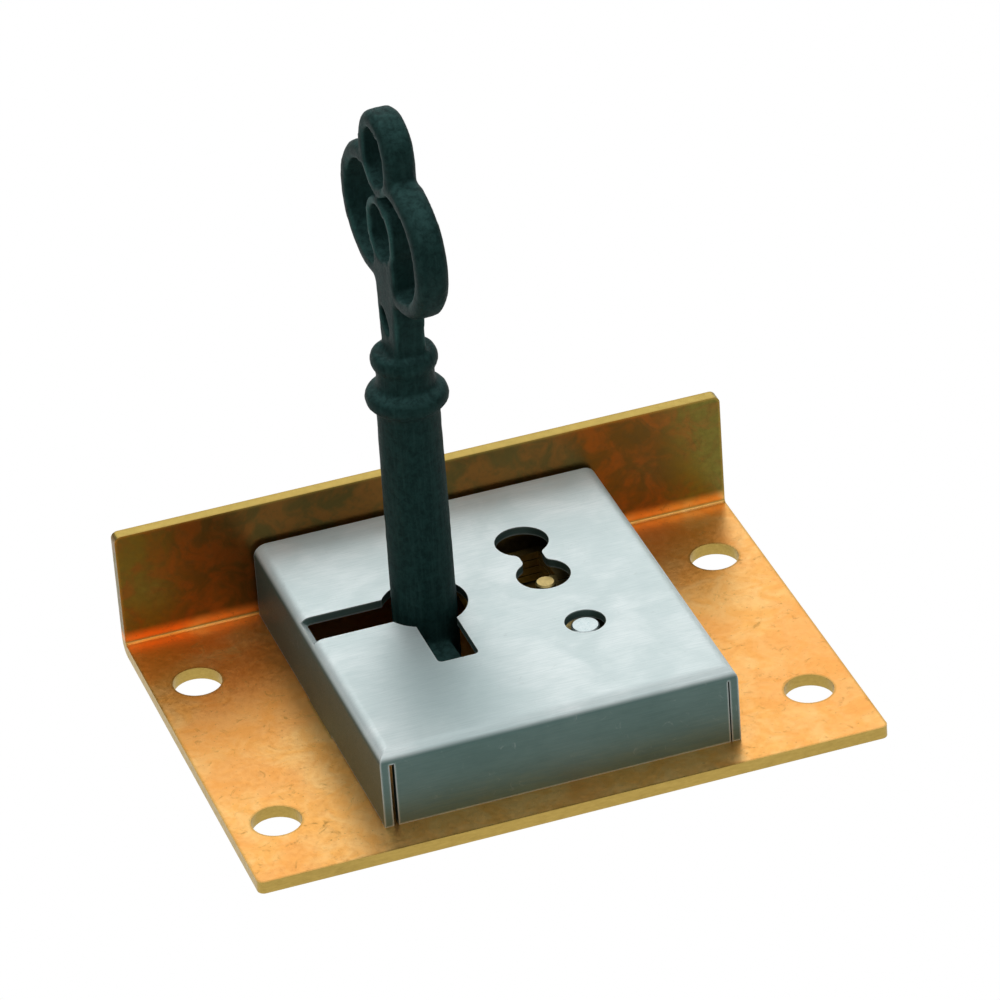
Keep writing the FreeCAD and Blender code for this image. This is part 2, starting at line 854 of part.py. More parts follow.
# Levers, drawn from the post with the gate straight, then swung back to rest
def make_lever(number):
    step = size["lever_step_%d" % number]
    swing = size["lever_swing_%d" % number]
    level = lever_floor + (number - 1) * lever_pitch
    lever = new_body("lever_%d" % number)
    back_swing = swing * size["gate_open_share"]
    put(lever, size["post_right"], post_y, level, back_swing)
    outline = new_sketch(lever, "LeverOutline%d" % number)
    gate_x = size["stump_right"] - size["post_right"]
    low_half = size["gate_low_width"] / 2
    neck_half = stump_radius + size["gate_neck_gap"]
    high_half = size["gate_high_width"] / 2
    neck_low = gate_low + size["gate_low_rise"]
    neck_high = gate_high - size["gate_high_drop"]
    boss = size["lever_boss"]
    corner = size["lever_corner"]
    right = gate_x + high_half + size["lever_web"]
    left = gate_x - high_half - size["lever_rim"]
    belly_x = key_x - size["post_right"]
    belly_y = key_y - post_y
    belly = step + size["belly_clear"]
    low_x = belly_x + belly * cosine(size["belly_low"])
    low_y = belly_y - belly * sine(size["belly_low"])
    high_x = belly_x + belly * cosine(size["belly_high"])
    high_y = belly_y + belly * sine(size["belly_high"])
    add_outline(
        outline,
        [
            (boss, 0),
            (right, lever_top - corner, (right - corner, lever_top - corner), 1),
            (right - corner, lever_top),
            (left + corner, lever_top, (left + corner, lever_top - corner), 1),
            (left, lever_top - corner),
            (high_x, high_y, (belly_x, belly_y), -1),
            (low_x, low_y),
            (-boss, 0, (0, 0), 1),
        ],
    )
    add_pad(lever, outline, size["lever_thick"])

    # Gate: a pocket for the stump at each end of the throw, and a narrow neck between them
    gate = new_sketch(lever, "LeverGate%d" % number)
    add_outline(
        gate,
        [
            (gate_x + low_half, gate_low - size["gate_low_drop"]),
            (gate_x + low_half, neck_low),
            (gate_x + neck_half, neck_low),
            (gate_x + neck_half, neck_high),
            (gate_x + high_half, neck_high),
            (gate_x + high_half, gate_high + size["gate_high_rise"]),
            (gate_x - high_half, gate_high + size["gate_high_rise"]),
            (gate_x - high_half, neck_high),
            (gate_x - neck_half, neck_high),
            (gate_x - neck_half, neck_low),
            (gate_x - low_half, neck_low),
            (gate_x - low_half, gate_low - size["gate_low_drop"]),
        ],
    )
    add_circle(gate, 0, 0, (size["post_spindle"] + size["turn_fit"]) / 2)
    slit_y = (neck_low + neck_high) / 2
    half = size["spring_thick"] / 2
    share = slit_y / (lever_top - corner)
    slit_edge = boss + (right - boss) * share
    slit_x = slit_edge - size["spring_grip"]
    add_box(gate, slit_x, slit_edge + size["spring_run"], slit_y - half, slit_y + half)
    add_pocket(lever, gate, size["lever_thick"], backwards=True)

    # Spring: a strip pinched in the lever's slit and bent round, its free leg lying at the cap's right wall
    spring = new_body("lever_spring_%d" % number)
    spring_level = level + (size["lever_thick"] - size["spring_width"]) / 2
    put(spring, size["post_right"], post_y, spring_level, back_swing)
    strip = new_sketch(spring, "Strip%d" % number)
    across = cosine(size["spring_splay"])
    down = sine(size["spring_splay"])
    leg_x = size["spring_leg"] * down
    leg_y = size["spring_leg"] * across
    bend_x = slit_edge + size["spring_run"]
    wall = cap_inner_half - size["spring_wall_gap"] - size["post_right"]
    lean = sine(back_swing) / cosine(back_swing)
    room = wall / cosine(back_swing) + (slit_y + half * down - leg_y) * lean
    bend = (room - bend_x - half * across - leg_x) / (across + (1 - down) * lean)
    bend_y = slit_y - bend
    outer = bend + half
    inner = bend - half
    add_outline(
        strip,
        [
            (slit_x, slit_y - half),
            (bend_x, slit_y - half, (bend_x, bend_y), -1),
            (bend_x + inner * across, bend_y + inner * down),
            (bend_x + inner * across + leg_x, bend_y + inner * down - leg_y),
            (bend_x + outer * across + leg_x, bend_y + outer * down - leg_y),
            (bend_x + outer * across, bend_y + outer * down, (bend_x, bend_y), 1),
            (bend_x, slit_y + half),
            (slit_x, slit_y + half),
        ],
    )
    add_pad(spring, strip, size["spring_width"])
    return [lever, spring]


levers = []
for number in range(1, LEVER_COUNT + 1):
    levers.extend(make_lever(number))

# Key: one iron casting, drawn upright with its bit to the front, then turned a little in the keyhole
key = new_body("key")
put(key, key_x, key_y, 0, size["key_turned"])
bow_half = size["bow_thick"] / 2

# Top loop of the bow
loop = new_sketch(key, "BowLoop", "YZ_Plane")
add_runway(loop, 0, size["loop_level"], size["loop_radius"], size["loop_half_run"])
loop_pad = add_pad(key, loop, size["bow_thick"], both_ways=True)


def is_rim(edge, middle):
    return near(abs(middle.x), bow_half)


rims = edges_where(loop_pad, is_rim)
add_round(key, loop_pad, rims, size["rim_chamfer"], "PartDesign::Chamfer")


# Side lobes, turned discs with a bevelled rim
def add_lobe(name, side, offset, level):
    lobe = new_sketch(key, name, "XY_Plane", level)
    middle = side * offset
    face = middle + side * (size["lobe_radius"] - size["rim_chamfer"])
    rim = middle + side * size["lobe_radius"]
    flat = bow_half - size["rim_chamfer"]
    add_outline(
        lobe,
        [
            (-bow_half, middle),
            (-bow_half, face),
            (-flat, rim),
            (flat, rim),
            (bow_half, face),
            (bow_half, middle),
        ],
    )
    axis_end = FreeCAD.Vector(bow_half.value, middle.value, 0)
    axis_start = FreeCAD.Vector(-bow_half.value, middle.value, 0)
    axis = lobe.addGeometry(Part.LineSegment(axis_start, axis_end), True)
    pin_point(lobe, axis, 1, -bow_half, middle)
    pin_point(lobe, axis, 2, bow_half, middle)
    return add_revolution(key, lobe, "Axis0")


def add_lobe_hole(name, side, offset, level):
    hole = new_sketch(key, name, "YZ_Plane")
    add_circle(hole, side * offset, level, size["lobe_hole"])
    return add_pocket(key, hole, size["bow_thick"], both_ways=True)


add_lobe("FarLobe", 1, size["far_offset"], size["far_level"])
add_lobe("NearLobe", -1, size["near_offset"], size["near_level"])
add_lobe_hole("FarLobeHole", 1, size["far_offset"], size["far_level"])
add_lobe_hole("NearLobeHole", -1, size["near_offset"], size["near_level"])

# Middle ring between the lobes, the bridge that joins it to the loop, and the stem that widens into its web
ring = new_sketch(key, "BowRing", "YZ_Plane")
add_runway(ring, 0, size["ring_level"], size["ring_radius"], size["ring_half_run"])
add_pad(key, ring, size["bow_thick"], both_ways=True)
bridge = new_sketch(key, "LoopAgain", "YZ_Plane")
face_radius = size["loop_radius"] - size["rim_chamfer"]
add_runway(bridge, 0, size["loop_level"], face_radius, size["loop_half_run"])
add_pad(key, bridge, size["bow_thick"], both_ways=True)
stem = new_sketch(key, "Stem", "YZ_Plane")
add_outline(
    stem,
    [
        (-size["stem_near"], size["bead_level"]),
        (size["stem_far"], size["bead_level"]),
        (size["web_far"], size["web_level"]),
        (size["web_far"], size["ring_level"]),
        (-size["web_near"], size["ring_level"]),
        (-size["web_near"], size["web_level"]),
    ],
)
add_pad(key, stem, size["bow_thick"], both_ways=True)
openings = new_sketch(key, "BowOpenings", "YZ_Plane")
add_runway(openings, 0, size["ring_level"], size["ring_hole"], size["ring_half_run"])
add_runway(openings, 0, size["loop_level"], size["loop_hole"], size["loop_half_run"])
add_pocket(key, openings, size["bow_thick"], both_ways=True)

# Shank with its collar and bead, turned
shank = new_sketch(key, "Shank", "XZ_Plane")


def drop_at(radius, centre, swell):
    """How far above or below its middle a swell meets the given radius."""
    aside = radius - centre
    return root(swell * swell - aside * aside)


collar_centre = size["collar_radius"] - size["collar_swell"]
collar_low = drop_at(size["shank_high"], collar_centre, size["collar_swell"])
collar_high = drop_at(size["neck_radius"], collar_centre, size["collar_swell"])
bead_centre = size["bead_radius"] - size["bead_swell"]
bead_low = drop_at(size["neck_radius"], bead_centre, size["bead_swell"])
bead_top = size["bead_level"] + drop_at(size["bead_lip"], bead_centre, size["bead_swell"])
add_outline(
    shank,
    [
        (0, key_foot),
        (size["shank_low"], key_foot),
        (size["shank_low"], bit_top + size["taper_above_bit"]),
        (
            size["shank_high"],
            size["collar_level"] - collar_low,
            (collar_centre, size["collar_level"]),
            1,
        ),
        (size["neck_radius"], size["collar_level"] + collar_high),
        (
            size["neck_radius"],
            size["bead_level"] - bead_low,
            (bead_centre, size["bead_level"]),
            1,
        ),
        (size["bead_lip"], bead_top),
        (0, bead_top - size["bead_dip"]),
    ],
)
add_revolution(key, shank, "V_Axis")

# Bit, with one step for the bolt and one for each lever
bit = new_sketch(key, "Bit", "YZ_Plane")
bit_foot = size["sheet_thick"] + size["bit_foot_gap"]
corners = [(0, bit_foot)]
level = lever_floor - size["lever_gap"] / 2
corners.append((-size["bit_bolt_reach"], bit_foot))
corners.append((-size["bit_bolt_reach"], level))
for number in range(1, LEVER_COUNT + 1):
    reach = -size["lever_step_%d" % number]
    corners.append((reach, level))
    level = lever_floor + number * lever_pitch - size["lever_gap"] / 2
    corners.append((reach, level))
corners.append((0, level))
add_outline(bit, corners)
add_pad(key, bit, size["bit_thick"], both_ways=True)

# Leaning eye in the stem, and bore for the pin
eye = new_sketch(key, "StemEye", "YZ_Plane")
eye_half = size["eye_half_width"]
eye_reach = size["eye_half_height"]
eye_arc = (eye_half * eye_half + eye_reach * eye_reach) / (2 * eye_half)
eye_shift = eye_arc - eye_half
lean_across = sine(size["eye_lean"])
lean_up = cosine(size["eye_lean"])
tip_across = eye_reach * lean_across
tip_up = eye_reach * lean_up
centre_across = eye_shift * lean_up
centre_up = eye_shift * lean_across
eye_y = size["eye_far"]
eye_z = size["eye_level"]
add_outline(
    eye,
    [
        (eye_y - tip_across, eye_z - tip_up, (eye_y - centre_across, eye_z + centre_up), 1),
        (eye_y + tip_across, eye_z + tip_up, (eye_y + centre_across, eye_z - centre_up), 1),
    ],
)
add_pocket(key, eye, size["bow_thick"], both_ways=True)
bore = new_sketch(key, "Bore", "XY_Plane", key_foot)
add_circle(bore, 0, 0, (size["drill_pin"] + size["bore_fit"]) / 2)
add_pocket(key, bore, pin_top + size["bore_end_gap"] - key_foot, backwards=True)

doc.recompute()

# Check every object and every piece, then write the pieces
for item in doc.Objects:
    if "Invalid" in item.State or "Error" in item.State:
        raise ValueError("%s failed: %s" % (item.Name, item.State))
pieces = [plate, cap, post, pin, bolt, stump, *levers, key]
for piece in pieces:
    shape = piece.Shape
    if shape.isNull() or not shape.isValid() or len(shape.Solids) != 1:
        raise ValueError("%s is not one valid solid" % piece.Label)
os.makedirs("parts", exist_ok=True)
for piece in pieces:
    piece.Shape.exportStep(os.path.join("parts", piece.Label + ".step"))
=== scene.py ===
import math

import bpy
import numpy as np
from mathutils import Matrix, Vector, noise


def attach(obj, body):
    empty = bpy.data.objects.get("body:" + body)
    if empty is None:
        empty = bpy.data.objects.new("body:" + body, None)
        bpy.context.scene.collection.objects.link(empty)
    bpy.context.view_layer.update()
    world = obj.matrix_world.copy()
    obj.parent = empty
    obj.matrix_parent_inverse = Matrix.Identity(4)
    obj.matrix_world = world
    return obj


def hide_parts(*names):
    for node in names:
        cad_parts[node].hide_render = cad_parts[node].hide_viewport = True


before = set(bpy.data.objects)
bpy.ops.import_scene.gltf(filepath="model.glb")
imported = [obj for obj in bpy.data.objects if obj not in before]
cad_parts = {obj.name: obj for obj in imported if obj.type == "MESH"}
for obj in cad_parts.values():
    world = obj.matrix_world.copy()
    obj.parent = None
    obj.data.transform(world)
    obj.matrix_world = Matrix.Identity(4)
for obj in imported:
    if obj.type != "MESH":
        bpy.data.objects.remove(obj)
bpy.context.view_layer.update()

MM = 0.001

# Zones of the paint, in millimetres of the object's own coordinates
# Where the plate's painted reflection of the fold comes in, towards the back and the left
FOLD_REFLECTION_BACK = (2.0, 21.0)
FOLD_REFLECTION_LEFT = (6.0, -30.0)
FOLD_HEIGHT = (1.6, 3.0)
LIP_HEIGHT = (8.0, 10.0)
CUT_HEIGHT = (1.35, 1.9)
END_REACH = (24.0, 29.5)
# Centre of the painted reflection of the key, in front of the keyhole
KEYHOLE_FRONT = (-8.5, -11.5, 9.5)
POST_CENTRE = (7.5, -5.365)

# The key's casting: lengths in millimetres, pitch per millimetre
CAST_GRAIN = 0.30
CAST_ROUNDS = 3
CAST_LUMP = 0.05
LUMP_PITCH = 0.55
LUMP_ROUGH = 0.6
LUMP_STEP = 2.0
LUMP_LAYERS = 3
CREST_ROUNDS = 3

# Floor, lamps and world
FLOOR_HALF = 0.9
FLOOR_DROP = 0.0002
AIM = (0.0, 0.0, 0.01)
LAMPS = (
    ("lamp_back", (0.13, 0.48, 0.36), (0.80, 0.50), 1.3),
    ("lamp_top", (-0.10, 0.0, 0.60), (0.50, 0.50), 1.1),
    ("lamp_front", (0.14, -0.50, 0.38), (0.60, 0.40), 0.75),
    ("lamp_left", (-0.48, -0.10, 0.30), (0.30, 0.30), 0.35),
)
WORLD_LIGHT = 0.25
WORLD_SEEN = 1.0

# Camera at the photograph's angle
AZIMUTH = math.radians(-16.80)
ELEVATION = math.radians(32.01)
ROLL = math.radians(-4.27)
DISTANCE = 0.6112
ASIDE = -0.007445
RAISED = 0.02986
LENS = 232.15
SENSOR = 36.0
CLIP = (0.01, 10.0)
TARGET = Vector((0.0, -0.022865, 0.0))


# Node helpers
class Tree:
    """Builds one material's nodes. Sockets are given as numbers, colours or other nodes' outputs."""

    def __init__(self, name):
        self.material = bpy.data.materials.new(name)
        self.material.use_nodes = True
        self.nodes = self.material.node_tree.nodes
        self.links = self.material.node_tree.links
        self.shader = self.nodes["Principled BSDF"]

    def put(self, socket, value):
        if isinstance(value, bpy.types.NodeSocket):
            self.links.new(value, socket)
        else:
            socket.default_value = value

    def add(self, kind, inputs=(), **settings):
        node = self.nodes.new(kind)
        for key, value in settings.items():
            setattr(node, key, value)
        for key, value in dict(inputs).items():
            self.put(node.inputs[key], value)
        return node

    def place(self, scale=(1, 1, 1), turn=(0, 0, 0), shift=(0, 0, 0)):
        """Object coordinates in millimetres, stretched, turned and shifted."""
        if not hasattr(self, "coordinates"):
            self.coordinates = self.add("ShaderNodeTexCoord").outputs["Object"]
        mapping = self.add("ShaderNodeMapping", {"Vector": self.coordinates})
        mapping.inputs["Location"].default_value = shift
        mapping.inputs["Rotation"].default_value = turn
        mapping.inputs["Scale"].default_value = [s / MM for s in scale]
        return mapping.outputs["Vector"]

    def noise(self, pitch, detail=4.0, rough=0.5, distort=0.0, **place):
        return self.add(
            "ShaderNodeTexNoise",
            {
                "Vector": self.place(**place),
                "Scale": pitch,
                "Detail": detail,
                "Roughness": rough,
                "Distortion": distort,
            },
        ).outputs["Fac"]

    def span(self, value, low, high, to_low=0.0, to_high=1.0, smooth=True):
        node = self.add(
            "ShaderNodeMapRange",
            {"Value": value, "From Min": low, "From Max": high, "To Min": to_low, "To Max": to_high},
            interpolation_type="SMOOTHSTEP" if smooth else "LINEAR",
            clamp=True,
        )
        return node.outputs["Result"]

    def maths(self, operation, one, other=0.0):
        node = self.add("ShaderNodeMath", operation=operation)
        self.put(node.inputs[0], one)
        self.put(node.inputs[1], other)
        return node.outputs[0]

    def mix(self, share, one, other, blend="MIX"):
        node = self.add("ShaderNodeMix", data_type="RGBA", blend_type=blend, clamp_factor=True)
        self.put(node.inputs["Factor"], share)
        self.put(node.inputs["A"], one)
        self.put(node.inputs["B"], other)
        return node.outputs["Result"]

    def axis(self, name):
        """One object coordinate in millimetres."""
        if not hasattr(self, "split"):
            self.split = self.add("ShaderNodeSeparateXYZ", {"Vector": self.place()})
        return self.split.outputs[name]

    def facing(self, name):
        if not hasattr(self, "normal"):
            where = self.add("ShaderNodeNewGeometry").outputs["Normal"]
            self.normal = self.add("ShaderNodeSeparateXYZ", {"Vector": where})
        return self.normal.outputs[name]

    def edges(self, reach, low, high):
        """Near 1 where the surface turns sharply within reach."""
        geometry = self.add("ShaderNodeNewGeometry").outputs["Normal"]
        bevel = self.add("ShaderNodeBevel", {"Radius": reach}, samples=6).outputs["Normal"]
        dot = self.add("ShaderNodeVectorMath", operation="DOT_PRODUCT")
        self.links.new(geometry, dot.inputs[0])
        self.links.new(bevel, dot.inputs[1])
        return self.span(dot.outputs["Value"], low, high, 1.0, 0.0)

    def near(self, centre, radius, soft, stretch=(1, 1, 1)):
        """1 close to a point of the object, 0 beyond radius."""
        shift = [-c * s for c, s in zip(centre, stretch)]
        where = self.place(scale=stretch, shift=shift)
        length = self.add("ShaderNodeVectorMath", {"Vector": where}, operation="LENGTH")
        return self.span(length.outputs["Value"], radius - soft, radius + soft, 1.0, 0.0)

    def bumps(self, *layers):
        """Chained bumps, each (height, depth in millimetres, strength)."""
        normal = None
        for height, depth, strength in layers:
            settings = {"Height": height, "Distance": depth * MM, "Strength": strength}
            node = self.add("ShaderNodeBump", settings)
            if normal is not None:
                self.links.new(normal, node.inputs["Normal"])
            normal = node.outputs["Normal"]
        return normal

    def finish(self, colour, rough, normal=None, **fixed):
        self.put(self.shader.inputs["Base Color"], colour)
        self.put(self.shader.inputs["Roughness"], rough)
        if normal is not None:
            self.links.new(normal, self.shader.inputs["Normal"])
        for key, value in fixed.items():
            self.shader.inputs[key.replace("_", " ")].default_value = value
        return self.material


def colour(red, green, blue):
    return (red, green, blue, 1.0)


# Worn sheet brass, painted warmer and redder towards the fold as a painted reflection of the fold, with
# darkened cut edges
def plate_brass():
    t = Tree("plate_brass")
    big = t.noise(0.09, 3.0, 0.55, 0.6)
    middle = t.noise(0.32, 5.0, 0.6, 0.8, shift=(7.0, 3.0, 1.0))
    fine = t.noise(1.7, 6.0, 0.65)
    grain = t.noise(4.0, 4.0, 0.7, scale=(0.25, 1.6, 1.0))
    gold = t.mix(t.span(middle, 0.35, 0.65), colour(0.95, 0.47, 0.11), colour(0.98, 0.57, 0.19))
    gold = t.mix(t.span(big, 0.42, 0.62, 0.0, 0.55), gold, colour(0.90, 0.37, 0.075))
    # Painted reflection: the plate is painted redder towards the fold and the left, standing in for the
    # fold's reflection in the plate
    back = t.span(t.axis("Y"), *FOLD_REFLECTION_BACK)
    left = t.span(t.axis("X"), *FOLD_REFLECTION_LEFT, 0.25, 1.0)
    painted_fold_reflection = t.maths("MULTIPLY", t.maths("MULTIPLY", back, left), t.span(big, 0.35, 0.6, 0.35, 1.0))
    gold = t.mix(painted_fold_reflection, gold, colour(1.0, 0.31, 0.04))
    stain = t.span(t.noise(0.55, 6.0, 0.7, 1.2, shift=(2.0, 9.0, 4.0)), 0.56, 0.72)
    gold = t.mix(t.maths("MULTIPLY", stain, 0.45), gold, colour(0.36, 0.23, 0.05))
    specks = t.span(t.noise(3.2, 3.0, 0.6, shift=(5.0, 1.0, 0.0)), 0.64, 0.74)
    gold = t.mix(t.maths("MULTIPLY", specks, 0.5), gold, colour(0.20, 0.12, 0.03))
    up = t.span(t.axis("Z"), *FOLD_HEIGHT)
    brown = t.mix(t.span(middle, 0.38, 0.62), colour(0.24, 0.10, 0.020), colour(0.13, 0.085, 0.020))
    brown = t.mix(t.span(fine, 0.5, 0.7, 0.0, 0.4), brown, colour(0.12, 0.085, 0.02))
    olive = t.mix(fine, colour(0.20, 0.165, 0.028), colour(0.14, 0.125, 0.020))
    end = t.span(t.maths("ABSOLUTE", t.axis("X")), *END_REACH)
    olive_share = t.maths("MULTIPLY", end, t.span(middle, 0.35, 0.6, 0.35, 1.0))
    selvedge = t.mix(olive_share, brown, olive)
    gold = t.mix(up, gold, selvedge)
    # Painted light: upward faces at the top of the fold are painted lighter olive, as if lit from above
    painted_fold_top_light = t.maths("MULTIPLY", t.span(t.facing("Z"), 0.6, 0.9), t.span(t.axis("Z"), *LIP_HEIGHT))
    gold = t.mix(painted_fold_top_light, gold, t.mix(middle, colour(0.58, 0.40, 0.085), colour(0.44, 0.33, 0.07)))
    edge = t.edges(0.55 * MM, 0.90, 0.995)
    border = t.mix(fine, colour(0.30, 0.19, 0.035), colour(0.48, 0.31, 0.06))
    gold = t.mix(t.maths("MULTIPLY", edge, 0.75), gold, border)
    rim = t.span(t.maths("ABSOLUTE", t.facing("Z")), 0.35, 0.7, 1.0, 0.0)
    cut = t.maths("MULTIPLY", rim, t.span(t.axis("Z"), *CUT_HEIGHT, 1.0, 0.0))
    gold = t.mix(cut, gold, t.mix(grain, colour(0.36, 0.24, 0.05), colour(0.60, 0.42, 0.11)))
    rough = t.span(fine, 0.3, 0.7, 0.30, 0.44)
    rough = t.maths("ADD", rough, t.maths("MULTIPLY", stain, 0.12))
    normal = t.bumps((grain, 0.02, 0.25), (fine, 0.03, 0.3), (middle, 0.10, 0.2))
    return t.finish(gold, rough, normal, Metallic=0.88)


# Pressed steel, finely brushed across, with lighter edges, and walls and bends painted darker as painted
# shade
def case_steel():
    t = Tree("case_steel")
    brush = t.noise(2.2, 5.0, 0.75, scale=(0.16, 3.2, 3.2), turn=(0, 0, math.radians(-3)))
    hair = t.noise(6.0, 3.0, 0.7, scale=(0.10, 3.0, 3.0), turn=(0, 0, math.radians(2)))
    cloud = t.noise(0.16, 4.0, 0.55, 0.5)
    fine = t.noise(2.6, 6.0, 0.7)
    steel = t.mix(t.span(cloud, 0.35, 0.65), colour(0.70, 0.80, 0.80), colour(0.82, 0.90, 0.90))
    steel = t.mix(t.span(brush, 0.35, 0.65, 0.0, 0.35), steel, colour(0.58, 0.70, 0.70))
    # Painted shade: the walls and lower bends are painted dark teal, and the left wall darker and greener
    # still
    wall = t.span(t.facing("Z"), 0.2, 0.7, 1.0, 0.0)
    # Painted reflection: a darker teal patch in front of the keyhole stands in for the key's reflection in
    # the cap
    key_reflection_zone = t.near(KEYHOLE_FRONT, 5.5, 4.5, (1.0, 0.55, 1.0))
    painted_key_reflection = t.maths("MULTIPLY", key_reflection_zone, t.span(cloud, 0.25, 0.6, 0.5, 1.0))
    steel = t.mix(t.maths("MULTIPLY", painted_key_reflection, 0.55), steel, colour(0.30, 0.44, 0.45))
    wall_shade = t.mix(cloud, colour(0.055, 0.115, 0.102), colour(0.085, 0.155, 0.140))
    left_wall_shade = t.span(t.facing("X"), -0.4, -0.8)
    wall_shade = t.mix(left_wall_shade, wall_shade, t.mix(cloud, colour(0.022, 0.060, 0.050), colour(0.040, 0.090, 0.070)))
    steel = t.mix(t.maths("MULTIPLY", wall, 0.95), steel, wall_shade)
    edge = t.edges(0.35 * MM, 0.88, 0.99)
    steel = t.mix(t.maths("MULTIPLY", edge, 0.5), steel, colour(0.82, 0.88, 0.87))
    marks = t.span(t.noise(0.8, 5.0, 0.75, 1.5, shift=(3.0, 6.0, 2.0)), 0.60, 0.75)
    steel = t.mix(t.maths("MULTIPLY", marks, 0.25), steel, colour(0.40, 0.46, 0.45))
    rough = t.span(brush, 0.3, 0.7, 0.44, 0.60)
    normal = t.bumps((hair, 0.012, 0.35), (brush, 0.02, 0.35), (fine, 0.02, 0.12), (cloud, 0.3, 0.12))
    return t.finish(steel, rough, normal, Metallic=0.7)


# Matte cast iron, nearly black, with rubbed edges, upward faces painted lighter as painted light and hollows
# painted darker as painted shade
def key_iron():
    t = Tree("key_iron")
    skin = t.noise(1.3, 7.0, 0.7, 0.4)
    grit = t.noise(5.5, 5.0, 0.75)
    along = t.noise(1.2, 4.0, 0.6, scale=(2.2, 2.2, 0.22))
    iron = t.mix(t.span(skin, 0.3, 0.7), colour(0.004, 0.014, 0.013), colour(0.010, 0.032, 0.029))
    iron = t.mix(t.span(along, 0.45, 0.7, 0.0, 0.4), iron, colour(0.018, 0.046, 0.042))
    # Painted light: upward faces are painted lighter teal, as if lit from above
    painted_top_light = t.maths("MULTIPLY", t.span(t.facing("Z"), 0.3, 0.95, 0.0, 0.6), t.span(skin, 0.35, 0.65, 0.3, 1.0))
    iron = t.mix(painted_top_light, iron, colour(0.040, 0.100, 0.096))
    crest = t.add("ShaderNodeAttribute", attribute_name="crest").outputs["Fac"]
    rubbed = t.maths("MULTIPLY", t.span(crest, 0.05, 0.14), t.span(grit, 0.3, 0.6, 0.35, 1.0))
    iron = t.mix(t.maths("MULTIPLY", rubbed, 0.7), iron, colour(0.045, 0.125, 0.115))
    # Painted shade: hollows, where the crest falls below zero, are painted near black
    iron = t.mix(t.span(crest, -0.03, -0.12, 0.0, 0.7), iron, colour(0.002, 0.007, 0.007))
    rough = t.span(grit, 0.3, 0.7, 0.48, 0.64)
    rough = t.maths("SUBTRACT", rough, t.maths("MULTIPLY", rubbed, 0.10))
    normal = t.bumps((skin, 0.12, 0.35), (grit, 0.04, 0.4))
    return t.finish(iron, rough, normal, Specular_IOR_Level=0.08, Specular_Tint=colour(0.55, 1.0, 0.95))


# Cast and filed brass of the bolt, stump and levers
def works_brass():
    t = Tree("works_brass")
    file_marks = t.noise(3.0, 4.0, 0.7, scale=(3.0, 0.2, 3.0), turn=(0, 0, math.radians(12)))
    cloud = t.noise(0.5, 4.0, 0.6)
    fine = t.noise(3.5, 5.0, 0.7)
    brass = t.mix(t.span(cloud, 0.35, 0.65), colour(0.40, 0.30, 0.11), colour(0.56, 0.43, 0.17))
    brass = t.mix(t.span(file_marks, 0.45, 0.7, 0.0, 0.4), brass, colour(0.26, 0.19, 0.07))
    edge = t.edges(0.2 * MM, 0.85, 0.99)
    brass = t.mix(t.maths("MULTIPLY", edge, 0.5), brass, colour(0.70, 0.56, 0.25))
    rough = t.span(fine, 0.3, 0.7, 0.28, 0.44)
    return t.finish(brass, rough, t.bumps((file_marks, 0.02, 0.35), (fine, 0.02, 0.2)), Metallic=1.0)


# Turned steel of the post and the pin
def pin_steel():
    t = Tree("pin_steel")
    centre = t.place(shift=(-POST_CENTRE[0], -POST_CENTRE[1], 0.0))
    rings = t.add(
        "ShaderNodeTexWave",
        {"Vector": centre, "Scale": 1.1, "Distortion": 1.5, "Detail": 3.0, "Detail Scale": 2.0},
        wave_type="RINGS",
        rings_direction="Z",
    ).outputs["Fac"]
    fine = t.noise(3.0, 5.0, 0.7)
    steel = t.mix(t.span(fine, 0.3, 0.7), colour(0.50, 0.60, 0.61), colour(0.66, 0.74, 0.75))
    edge = t.edges(0.12 * MM, 0.85, 0.99)
    steel = t.mix(t.maths("MULTIPLY", edge, 0.5), steel, colour(0.88, 0.92, 0.92))
    rough = t.span(fine, 0.3, 0.7, 0.26, 0.40)
    return t.finish(steel, rough, t.bumps((rings, 0.008, 0.3), (fine, 0.01, 0.2)), Metallic=1.0)


# Blued strip of the lever springs
def spring_steel():
    t = Tree("spring_steel")
    along = t.noise(2.0, 4.0, 0.7, scale=(0.5, 0.5, 4.0))
    cloud = t.noise(0.8, 4.0, 0.6)
    steel = t.mix(t.span(cloud, 0.35, 0.65), colour(0.16, 0.18, 0.22), colour(0.28, 0.30, 0.33))
    edge = t.edges(0.08 * MM, 0.85, 0.99)
    steel = t.mix(t.maths("MULTIPLY", edge, 0.5), steel, colour(0.50, 0.52, 0.54))
    rough = t.span(along, 0.3, 0.7, 0.30, 0.44)
    return t.finish(steel, rough, t.bumps((along, 0.01, 0.3)), Metallic=1.0)


# How far each vertex stands out from its neighbours, in shares of the grain, kept as an attribute
def mark_crests(mesh, grain, rounds):
    count = len(mesh.vertices)
    where = np.empty(count * 3)
    normal = np.empty(count * 3)
    ends = np.empty(len(mesh.edges) * 2, dtype=np.int32)
    mesh.vertices.foreach_get("co", where)
    mesh.vertices.foreach_get("normal", normal)
    mesh.edges.foreach_get("vertices", ends)
    where, normal, ends = where.reshape(-1, 3), normal.reshape(-1, 3), ends.reshape(-1, 2)
    degree = np.maximum(np.bincount(ends.ravel(), minlength=count), 1)

    def around(values):
        total = np.bincount(ends[:, 0], values[ends[:, 1]], count)
        return (total + np.bincount(ends[:, 1], values[ends[:, 0]], count)) / degree

    mean = np.stack([around(where[:, k]) for k in range(3)], axis=1)
    height = ((where - mean) * normal).sum(axis=1) / grain
    for _ in range(rounds):
        height = 0.5 * (height + around(height))
    mesh.attributes.new("crest", "FLOAT", "POINT").data.foreach_set("value", height.astype(np.float32))


